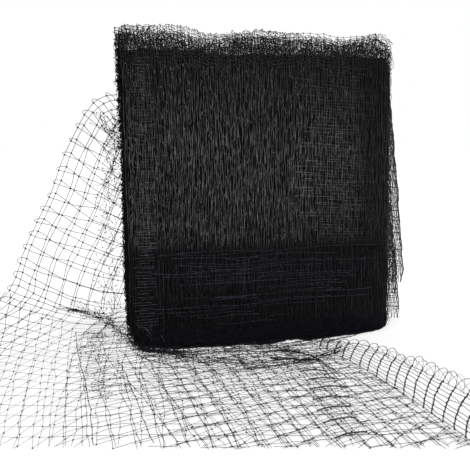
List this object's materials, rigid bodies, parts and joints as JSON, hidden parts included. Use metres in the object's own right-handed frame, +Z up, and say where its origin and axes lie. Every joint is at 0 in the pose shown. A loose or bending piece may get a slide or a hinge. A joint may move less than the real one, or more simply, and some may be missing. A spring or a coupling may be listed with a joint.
{
  "type": "bird netting",
  "caption": "Black square-mesh bird netting: a folded pack standing on its folded edge, with the free end falling behind it and spread on the floor.",
  "frame": {"origin": "on the underside of the spread net, which rests on the floor, under the middle of the pack's front face", "axes": "+X along the pack's width, away from the side where the free end falls; +Y from the pack's front face to its back; +Z up"},
  "size_m": [0.5213, 0.4187, 0.3552],
  "materials": {
    "net": "satin"
  },
  "bodies": {
    "root": {"netting": "net"}
  },
  "joints": []
}
